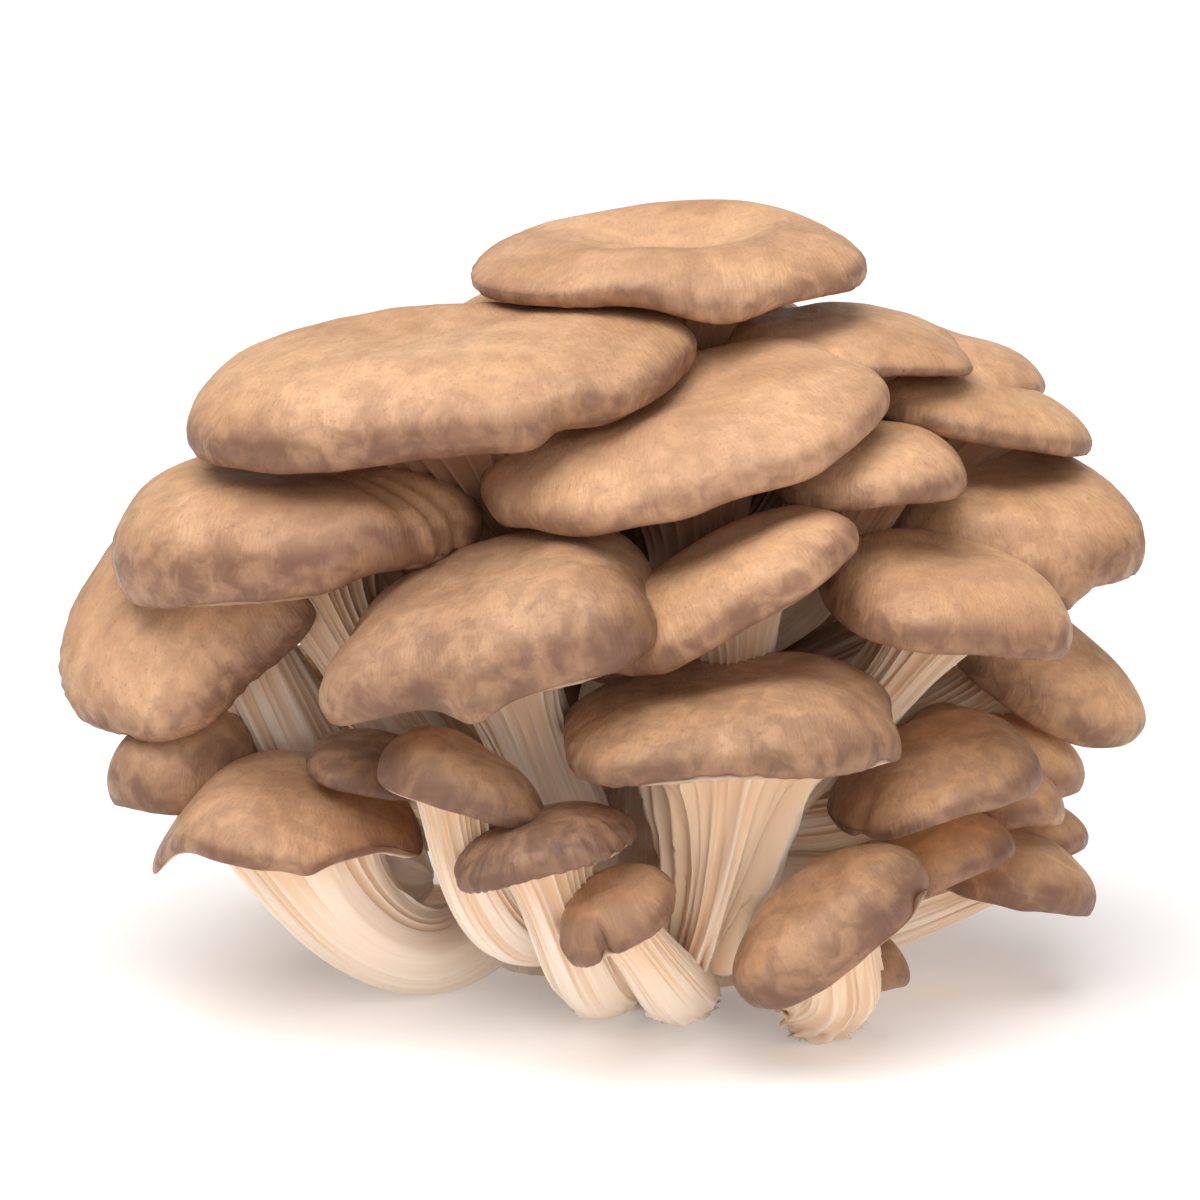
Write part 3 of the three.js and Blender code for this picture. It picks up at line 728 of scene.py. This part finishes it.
# And each layer of the flesh.
GILL_GAP_SHADE = 0.6  # painted shade, warmer and darker, between the gills of a stem
BETWEEN_GILLS = (0.75, 0.2)  # heights of the gills where that painted shade starts and is full
STAINED = 0.16  # golden stains
GAP_SHADE_DEPTH = 0.92  # the painted shade on the flesh among the stems, at its darkest
STEM_FROM = (0.1, 0.5)  # where the gills' colours give way to the stem's
SKIN_GLOSS = (0.42, 0.55)  # roughness of the skin
FLESH_GLOSS = 0.75
THREADS = 0.4  # relief of the stem's fibres
PORES = 0.6  # relief of the skin's mottling
FINER = 6.5  # how much finer the mottling's specks are than its patches
SOFTEST = 0.22  # half the range over which the softest patches fade
SPECKS = (0.56, 0.72)  # values of the fine noise where a speck starts and is full
DOTS = 75.0  # how densely the few dark dots could lie
DOT_EDGE = (0.028, 0.01)  # and where one starts and is full
DOTTED = 0.33  # a place has one if its random value is less
STREAKS = (0.3, 0.7)  # values of the noise where a fibre starts and is full
FOOT_GLOSS = (0.7, 0.85)  # roughness of the foot


def add(tree, kind, settings=None, inputs=None):
    """A shader node with its settings and its inputs' values or sockets, set after the tree's last node."""
    column, row_of_nodes = len(tree.nodes) % NODES_ACROSS, len(tree.nodes) // NODES_ACROSS
    node = tree.nodes.new(kind)
    node.location = (column * NODE_STEP[0], row_of_nodes * NODE_STEP[1])
    for key, value in (settings or {}).items():
        setattr(node, key, value)
    for key, value in (inputs or {}).items():
        if isinstance(value, bpy.types.NodeSocket):
            tree.links.new(value, node.inputs[key])
        else:
            node.inputs[key].default_value = value
    return node


def mixed(tree, factor, a, b):
    """The colour between two colours, from a at 0 to b at 1."""
    return add(tree, "ShaderNodeMix", {"data_type": "RGBA"}, {0: factor, 6: a, 7: b}).outputs[2]


def washed(tree, look, colour, washes):
    """A colour with others of the cluster's laid over it in turn, each by its own mask."""
    for mask, key in washes:
        colour = mixed(tree, mask, colour, paint(look, key))
    return colour


def paint(look, key):
    """One of the cluster's colours, as a shader takes it."""
    return (*getattr(look, key), 1)


def ranged(tree, value, low, high, to_low=0.0, to_high=1.0):
    """A value taken from one range to another, smoothly."""
    inputs = {"Value": value, "From Min": low, "From Max": high, "To Min": to_low, "To Max": to_high}
    node = add(tree, "ShaderNodeMapRange", {"interpolation_type": "SMOOTHSTEP"}, inputs)
    return node.outputs["Result"]


def math_node(tree, operation, a, b=0.0):
    return add(tree, "ShaderNodeMath", {"operation": operation}, {0: a, 1: b}).outputs[0]


def mixed_value(tree, factor, a, b):
    return add(tree, "ShaderNodeMix", {"data_type": "FLOAT"}, {0: factor, 2: a, 3: b}).outputs[0]


def attribute(tree, name, output="Fac"):
    return add(tree, "ShaderNodeAttribute", {"attribute_name": name}).outputs[output]


def new_group(name, inputs, masks):
    """An empty shader node group with its named sockets, and its inner ends. Its outputs are masks."""
    group = bpy.data.node_groups.new(name, "ShaderNodeTree")
    for label, kind, value in inputs:
        socket = group.interface.new_socket(label, in_out="INPUT", socket_type=kind)
        if value is not None:
            socket.default_value = value
    for label in masks:
        group.interface.new_socket(label, in_out="OUTPUT", socket_type="NodeSocketFloat")
    start = add(group, "NodeGroupInput")
    end = add(group, "NodeGroupOutput")
    return group, start, end


def mottling_group():
    """Soft patches of two sizes with specks between them."""
    name = "mottling"
    if name in bpy.data.node_groups:
        return bpy.data.node_groups[name]
    inputs = (("Size", "NodeSocketFloat", 60.0), ("Softness", "NodeSocketFloat", 0.5))
    group, start, end = new_group(name, inputs, ("Patches", "Specks"))
    place = add(group, "ShaderNodeTexCoord").outputs["Object"]
    broad = add(group, "ShaderNodeTexNoise", None,
                {"Vector": place, "Scale": start.outputs["Size"], "Detail": 4.0, "Roughness": 0.55,
                 "Distortion": 0.6}).outputs["Fac"]
    finer = math_node(group, "MULTIPLY", start.outputs["Size"], FINER)
    fine = add(group, "ShaderNodeTexNoise", None,
               {"Vector": place, "Scale": finer, "Detail": 3.0, "Roughness": 0.6}).outputs["Fac"]
    share = math_node(group, "MULTIPLY", start.outputs["Softness"], SOFTEST)
    low = math_node(group, "SUBTRACT", 0.5, share)
    high = math_node(group, "ADD", 0.5, share)
    patches = add(group, "ShaderNodeMapRange", {"interpolation_type": "SMOOTHSTEP"},
                  {"Value": broad, "From Min": low, "From Max": high}).outputs["Result"]
    specks = ranged(group, fine, *SPECKS)
    group.links.new(patches, end.inputs["Patches"])
    group.links.new(specks, end.inputs["Specks"])
    return group


def fibres_group():
    """Fine fibres along a flow, from their width and length in millimetres."""
    name = "fibres"
    if name in bpy.data.node_groups:
        return bpy.data.node_groups[name]
    inputs = (("Flow", "NodeSocketVector", None), ("Width", "NodeSocketFloat", 1.0),
              ("Length", "NodeSocketFloat", 6.0))
    group, start, end = new_group(name, inputs, ("Streaks",))
    size = add(group, "ShaderNodeCombineXYZ", None,
               {0: start.outputs["Width"], 1: start.outputs["Length"], 2: start.outputs["Width"]}).outputs[0]
    laid = add(group, "ShaderNodeVectorMath", {"operation": "DIVIDE"},
               {0: start.outputs["Flow"], 1: size}).outputs[0]
    noise = {"Vector": laid, "Scale": 1.0, "Detail": 2.0, "Roughness": 0.6, "Distortion": 0.4}
    fine = add(group, "ShaderNodeTexNoise", None, noise).outputs["Fac"]
    group.links.new(ranged(group, fine, *STREAKS), end.inputs["Streaks"])
    return group


def speck_mask(tree):
    """Where the few small dark specks are."""
    at = add(tree, "ShaderNodeTexCoord").outputs["Object"]
    cells = add(tree, "ShaderNodeTexVoronoi", None, {"Vector": at, "Scale": DOTS})
    dot = ranged(tree, cells.outputs["Distance"], *DOT_EDGE)
    few = math_node(tree, "LESS_THAN", cells.outputs["Color"], DOTTED)
    return math_node(tree, "MULTIPLY", dot, few)


def placed(tree, group, **inputs):
    """A shader node group in a tree, with its own values."""
    return add(tree, "ShaderNodeGroup", {"node_tree": group}, inputs)


def fresh_material(name):
    material = bpy.data.materials.new(name)
    material.use_nodes = True
    tree = material.node_tree
    tree.nodes.clear()
    shader = add(tree, "ShaderNodeBsdfPrincipled")
    end = add(tree, "ShaderNodeOutputMaterial", None, {"Surface": shader.outputs[0]})
    end.is_active_output = True
    return material, tree, shader


def mushroom_material():
    """Satin skin above, pale forked gills below, and a fibrous stem, told apart by the piece's own masks."""
    name = "satin_skin"
    if name in bpy.data.materials:
        return bpy.data.materials[name]
    look = bpy.context.scene.oyster_look
    material, tree, shader = fresh_material(name)

    names = ("slope", "skin", "ridge", "run", "tone", "rim", "inner")
    slope, skin, ridge, run, tone, rim, inner = (attribute(tree, key) for key in names)
    silk = attribute(tree, "silk", "Vector")
    grain = attribute(tree, "grain", "Vector")
    golden = placed(tree, mottling_group(), Size=13.0, Softness=0.9).outputs["Patches"]
    broad = placed(tree, mottling_group(), Size=38.0, Softness=0.9).outputs["Patches"]
    close = placed(tree, mottling_group(), Size=220.0, Softness=0.8)
    patches, specks = close.outputs["Patches"], close.outputs["Specks"]
    velvet = placed(tree, fibres_group(), Flow=silk, Width=0.8, Length=2.4).outputs["Streaks"]
    strands = placed(tree, fibres_group(), Flow=grain, Width=0.9, Length=9.0).outputs["Streaks"]

    # Skin: pale gold on top, browner towards the margin and on steep faces, partly its own colour and partly
    # painted shade, clouded and speckled, with a short silky nap.
    cloud = ranged(tree, math_node(tree, "ADD", broad, patches), 0, 2, *CLOUDED)
    # Browner on steep faces towards the margin: partly the skin's own colour, partly painted shade.
    outward = math_node(tree, "MULTIPLY", ranged(tree, slope, *BROWN_AND_SHADE_SLOPES), cloud)
    clouded = ranged(tree, cloud, *CLOUDED, *DARK_CLOUDED)
    dark = math_node(tree, "MULTIPLY", ranged(tree, tone, 0, 1, 0, DARKEST), clouded)
    colour = mixed(tree, broad, paint(look, "skin_light"), paint(look, "skin_mid"))
    colour = washed(tree, look, colour, (
        (math_node(tree, "MULTIPLY", golden, GILT), "skin_gold"),
        (outward, "brown_skin_and_shade"),
        (math_node(tree, "MULTIPLY", patches, VEIL), "brown_skin_and_shade"),
        (math_node(tree, "MULTIPLY", specks, SPECKLE), "brown_skin_and_shade"),
        (math_node(tree, "MULTIPLY", velvet, NAP), "brown_skin_and_shade"),
        (dark, "dark_skin_and_rim_shade"),
        (ranged(tree, tone, 0, -1, 0, PALEST), "skin_light"),
        # Painted shade: a dark line under the rolled margin.
        (math_node(tree, "MULTIPLY", rim, RIM_SHADE_LINE), "dark_skin_and_rim_shade"),
        (speck_mask(tree), "dark_skin_and_rim_shade"),
    ))

    # Flesh: pale gill edges with painted shade, warmer and darker, between them, and a stem of pale fibres.
    gills = mixed(tree, ridge, paint(look, "gill_shade_and_browning"), paint(look, "gill_edge"))
    stem = mixed(tree, strands, paint(look, "stem_shade"), paint(look, "stem"))
    stem = washed(tree, look, stem, ((ranged(tree, ridge, *BETWEEN_GILLS, 0, GILL_GAP_SHADE), "gill_shade_and_browning"),))
    flesh = mixed(tree, ranged(tree, run, *STEM_FROM), gills, stem)
    # Golden stains, then painted shade on the flesh deep among the stems.
    flesh = washed(tree, look, flesh, (
        (math_node(tree, "MULTIPLY", broad, STAINED), "stain"),
        (math_node(tree, "MULTIPLY", inner, GAP_SHADE_DEPTH), "inside"),
    ))
    tree.links.new(mixed(tree, skin, flesh, colour), shader.inputs["Base Color"])

    # Finish: the skin is smooth and a little moist, the flesh dry.
    gloss = ranged(tree, patches, 0, 1, *SKIN_GLOSS)
    tree.links.new(mixed_value(tree, skin, FLESH_GLOSS, gloss), shader.inputs["Roughness"])
    threads = math_node(tree, "MULTIPLY", strands, THREADS)
    pores = math_node(tree, "MULTIPLY", math_node(tree, "ADD", specks, patches), PORES)
    height = mixed_value(tree, skin, threads, math_node(tree, "ADD", pores, velvet))
    bump = add(tree, "ShaderNodeBump", None, {"Strength": 0.25, "Distance": 0.0004, "Height": height})
    tree.links.new(bump.outputs[0], shader.inputs["Normal"])
    shader.inputs["Specular IOR Level"].default_value = 0.34
    shader.inputs["Subsurface Weight"].default_value = 0.18
    shader.inputs["Subsurface Radius"].default_value = (1.0, 0.45, 0.25)
    shader.inputs["Subsurface Scale"].default_value = 0.004
    return material


def foot_material():
    """Pale torn flesh in coarse fibres, browned in patches."""
    name = "torn_flesh"
    if name in bpy.data.materials:
        return bpy.data.materials[name]
    look = bpy.context.scene.oyster_look
    material, tree, shader = fresh_material(name)
    broad = placed(tree, mottling_group(), Size=60.0, Softness=0.8)
    grain = attribute(tree, "grain", "Vector")
    strands = placed(tree, fibres_group(), Flow=grain, Width=1.2, Length=8.0).outputs["Streaks"]
    colour = mixed(tree, strands, paint(look, "stem_shade"), paint(look, "stem"))
    colour = washed(tree, look, colour, ((broad.outputs["Patches"], "gill_shade_and_browning"),))
    tree.links.new(colour, shader.inputs["Base Color"])
    rough = ranged(tree, broad.outputs["Specks"], 0, 1, *FOOT_GLOSS)
    tree.links.new(rough, shader.inputs["Roughness"])
    bump = add(tree, "ShaderNodeBump", None, {"Strength": 0.5, "Distance": 0.0006, "Height": strands})
    tree.links.new(bump.outputs[0], shader.inputs["Normal"])
    return material


# ---- Foot -----------------------------------------------------------------------------------------------
FOOT_SIDES = 120
FOOT_RINGS = 60
FOOT_DRAW = 30  # millimetres of height for one radius of the tube that its fibres wander on
# Pitch, height in millimetres and seed of the foot's fibres and of the bundles that they lie in.
FOOT_FIBRES = (0.16, 0.7, 61)
FOOT_BUNDLES = (0.5, 1.2, 62)
FIBRE_DRAW = np.array((1, 0.35, 1))  # fibres are drawn longer than bundles
COMB_SUNK = 2.2  # how far the fibres' middle level lies below the foot's plain shape


def make_foot(material):
    """The mound and trunk of fused stems: its profile turned, lumped and combed into fibres."""
    bar = turned_blank("visual_fused_foot", FOOT_SIDES, FOOT_RINGS)
    order, first, last = bar_order(bar.data, FOOT_SIDES, FOOT_RINGS)
    share_at = np.array([p[0] for p in FOOT_PROFILE])
    height_at = np.array([p[1] for p in FOOT_PROFILE])
    station = np.linspace(0, len(FOOT_PROFILE) - 1, FOOT_RINGS + 1)[:-1]
    knots = np.arange(len(FOOT_PROFILE))
    share = np.interp(station, knots, share_at)[:, None]
    height = np.interp(station, knots, height_at)[:, None]
    turn = (np.arange(FOOT_SIDES) / FOOT_SIDES * TURN)[None, :]
    wave = FOOT_LUMP * np.sin(FOOT_LUMPS * turn) * share
    ring = round_about(turn + 0 * height, height + 0 * turn, 1, FOOT_DRAW)
    pitch, high, own_seed = FOOT_FIBRES
    comb = waves(ring * FIBRE_DRAW, pitch, own_seed) * high
    pitch, high, own_seed = FOOT_BUNDLES
    comb = comb + waves(ring, pitch, own_seed) * high - COMB_SUNK
    comb = comb * np.minimum(1, share * 2)  # none at the tip
    x = FOOT_CENTRE[0] + (share * FOOT_RADII[0] + wave + comb) * np.sin(turn)
    y = FOOT_CENTRE[1] - (share * FOOT_RADII[1] + wave + comb) * np.cos(turn)
    grid = np.stack((x, y, np.maximum(height, 0) + 0 * turn), -1)
    co = np.empty((len(bar.data.vertices), 3))
    co[order] = grid
    co[first] = (*FOOT_CENTRE, 0)
    co[last] = (*FOOT_CENTRE, FOOT_PROFILE[-1][1])
    bar.data.vertices.foreach_set("co", (co * MM).ravel())
    grain = np.zeros_like(co)
    grain[order] = ring * FOOT_LUMPS * GRAIN_RADIUS
    put_attribute(bar.data, "grain", grain)
    bar.data.update()
    bpy.ops.object.shade_smooth()
    bar.data.materials.append(material)
    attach(bar, "root")
    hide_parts("fused_foot")
    return bar


# ---- Settings -------------------------------------------------------------------------------------------
def colour_property(label, meaning, value):
    return bpy.props.FloatVectorProperty(name=label, description=meaning, subtype="COLOR", size=3,
                                         default=value, min=0, max=1)


def number_property(label, meaning, value, **more):
    return bpy.props.FloatProperty(name=label, description=meaning, default=value, **more)


class OysterLook(bpy.types.PropertyGroup):
    """Colours of the skin and the flesh."""

    skin_light: colour_property("Pale skin", "The lit tops' pale gold", (0.80, 0.485, 0.285))
    skin_mid: colour_property("Skin", "Most of the skin", (0.51, 0.28, 0.158))
    skin_gold: colour_property("Golden skin", "Where the skin is warmest", (0.72, 0.40, 0.17))
    # Also paints the steep faces browner: partly the skin's own colour, partly painted shade.
    brown_skin_and_shade: colour_property("Brown skin", "Patches, fibres and margins", (0.195, 0.094, 0.057))
    # Also the colour of the painted shade line under the margin.
    dark_skin_and_rim_shade: colour_property("Dark skin", "The caps that grew low down", (0.15, 0.08, 0.055))
    gill_edge: colour_property("Gill edge", "The edges of the gills", (0.94, 0.79, 0.65))
    # Painted shade between the gills; the foot's browned patches use it as well.
    gill_shade_and_browning: colour_property("Between the gills", "The flesh between the gills", (0.78, 0.51, 0.30))
    stem: colour_property("Stem", "The stems' pale fibres", (0.95, 0.84, 0.73))
    stain: colour_property("Stain", "Golden stains on the flesh", (0.72, 0.42, 0.20))
    # Painted shade: the colour that the flesh deep among the stems darkens to.
    inside: colour_property("Inside", "The flesh deep between the stems", (0.25, 0.105, 0.045))
    stem_shade: colour_property("Between the fibres", "The stems between their fibres", (0.93, 0.79, 0.66))


class OysterStage(bpy.types.PropertyGroup):
    """The floor, the lights and the camera."""

    floor: colour_property("Floor", "The floor's colour", (0.9, 0.885, 0.89))
    glow: number_property("Floor glow", "How much light the lit floor adds", 0.2, min=0)
    key: number_property("Key light", "Strength of the broad soft light above", 2.85, min=0)
    fill: number_property("Fill light", "Power of the soft light in front", 4.0, min=0, unit="POWER")
    world: number_property("Surroundings", "Brightness of the white surroundings", 0.38, min=0)
    distance: number_property("Camera distance", "From the camera to the cluster", 0.9, min=0.1,
                              unit="LENGTH")
    elevation: number_property("Camera elevation", "How far the camera looks down", math.radians(12),
                               subtype="ANGLE")
    lens: number_property("Lens", "Focal length in millimetres", 150.0, min=10)


def aimed(thing, target):
    thing.rotation_euler = (Vector(target) - thing.location).to_track_quat("-Z", "Y").to_euler()


AIM = (0, 0, 0.0668)  # the middle of the cluster, which the camera and the lights look at
KEY_AT = (-0.3, -0.5, 1.6)
FILL_AT = (0.45, -1.2, 0.5)
FLOOR_SIZE = 12
SENSOR = 36  # width of the camera's sensor, in millimetres


class OYSTER_OT_stage(bpy.types.Operator):
    """Lay the pale floor, hang the soft lights and set the camera"""

    bl_idname = "oyster.stage"
    bl_label = "Floor, lights and camera"

    def execute(self, context):
        stage = context.scene.oyster_stage
        deselect()
        bpy.ops.mesh.primitive_plane_add(size=FLOOR_SIZE, location=(0, 0, 0))
        floor = context.object
        floor.name = "floor"
        material, tree, shader = fresh_material("floor_paper")
        shader.inputs["Base Color"].default_value = (*stage.floor, 1)
        shader.inputs["Roughness"].default_value = 0.6
        shader.inputs["Emission Color"].default_value = (1, 0.98, 0.97, 1)
        shader.inputs["Emission Strength"].default_value = stage.glow
        floor.data.materials.append(material)
        bpy.ops.object.light_add(type="SUN", location=KEY_AT)
        key = context.object
        key.name = "key_light"
        key.data.angle = math.radians(60)
        key.data.energy = stage.key
        key.data.color = (1.0, 0.985, 0.96)
        aimed(key, AIM)
        bpy.ops.object.light_add(type="AREA", location=FILL_AT)
        fill = context.object
        fill.name = "fill_light"
        fill.data.size = 0.8
        fill.data.energy = stage.fill
        fill.data.color = (1.0, 0.96, 0.92)
        aimed(fill, AIM)
        world = bpy.data.worlds.new("surroundings")
        world.use_nodes = True
        tree = world.node_tree
        lit = tree.nodes["Background"]
        lit.inputs["Color"].default_value = (1, 1, 1, 1)
        lit.inputs["Strength"].default_value = stage.world
        seen = add(tree, "ShaderNodeBackground", None, {"Color": (1, 1, 1, 1), "Strength": 1.0})
        path = add(tree, "ShaderNodeLightPath")
        both = add(tree, "ShaderNodeMixShader", None,
                   {0: path.outputs["Is Camera Ray"], 1: lit.outputs[0], 2: seen.outputs[0]})
        tree.links.new(both.outputs[0], tree.nodes["World Output"].inputs["Surface"])
        context.scene.world = world
        away = (0, -math.cos(stage.elevation) * stage.distance,
                AIM[2] + math.sin(stage.elevation) * stage.distance)
        bpy.ops.object.camera_add(location=away)
        camera = context.object
        camera.data.lens = stage.lens
        camera.data.sensor_width = SENSOR
        camera.data.dof.use_dof = False
        aimed(camera, AIM)
        context.scene.camera = camera
        context.scene.view_settings.view_transform = "Standard"
        return {"FINISHED"}


SEED_STEP = 17  # from one mushroom's seed to the next one's


class TierStep:
    """What the steps that grow a tier share: each has its rows and its first mushroom's seed."""

    def execute(self, context):
        material = mushroom_material()
        for number, m in enumerate(self.rows):
            make_mushroom(m, self.first_seed + SEED_STEP * number, material)
        return {"FINISHED"}


class OYSTER_OT_top_tier(TierStep, bpy.types.Operator):
    """Grow the crown and the large caps on top"""

    bl_idname = "oyster.top_tier"
    bl_label = "Top tier"
    rows = TOP_TIER
    first_seed = 100


class OYSTER_OT_middle_tier(TierStep, bpy.types.Operator):
    """Grow the caps of the middle tier, with their long gills"""

    bl_idname = "oyster.middle_tier"
    bl_label = "Middle tier"
    rows = MIDDLE_TIER
    first_seed = 1000


class OYSTER_OT_low_tier(TierStep, bpy.types.Operator):
    """Grow the small caps and buds near the floor"""

    bl_idname = "oyster.low_tier"
    bl_label = "Low tier"
    rows = LOW_TIER
    first_seed = 2000


class OYSTER_OT_back_tiers(TierStep, bpy.types.Operator):
    """Grow the caps behind"""

    bl_idname = "oyster.back_tiers"
    bl_label = "Back tiers"
    rows = BACK_TIERS
    first_seed = 3000


class OYSTER_OT_fused_foot(bpy.types.Operator):
    """Raise the fused foot that the stems share"""

    bl_idname = "oyster.fused_foot"
    bl_label = "Fused foot"

    def execute(self, context):
        make_foot(foot_material())
        return {"FINISHED"}


class OYSTER_PT_panel(bpy.types.Panel):
    """The steps that build the cluster"""

    bl_idname = "OYSTER_PT_panel"
    bl_label = "Oyster mushrooms"
    bl_space_type = "VIEW_3D"
    bl_region_type = "UI"
    bl_category = "Oysters"

    def draw(self, context):
        for step in STEPS:
            self.layout.operator(step.bl_idname)
        for settings in (context.scene.oyster_look, context.scene.oyster_stage):
            for key in settings.__annotations__:
                self.layout.prop(settings, key)


STEPS = (OYSTER_OT_stage, OYSTER_OT_fused_foot, OYSTER_OT_top_tier, OYSTER_OT_middle_tier,
         OYSTER_OT_low_tier, OYSTER_OT_back_tiers)
CLASSES = (OysterLook, OysterStage, *STEPS, OYSTER_PT_panel)


def register():
    for kind in CLASSES:
        bpy.utils.register_class(kind)
    bpy.types.Scene.oyster_look = bpy.props.PointerProperty(type=OysterLook)
    bpy.types.Scene.oyster_stage = bpy.props.PointerProperty(type=OysterStage)


def unregister():
    del bpy.types.Scene.oyster_look
    del bpy.types.Scene.oyster_stage
    for kind in reversed(CLASSES):
        bpy.utils.unregister_class(kind)


def main():
    register()
    bpy.ops.oyster.stage()
    bpy.ops.oyster.fused_foot()
    bpy.ops.oyster.top_tier()
    bpy.ops.oyster.middle_tier()
    bpy.ops.oyster.low_tier()
    bpy.ops.oyster.back_tiers()
    clear_blanks()


if __name__ == "__main__":
    main()
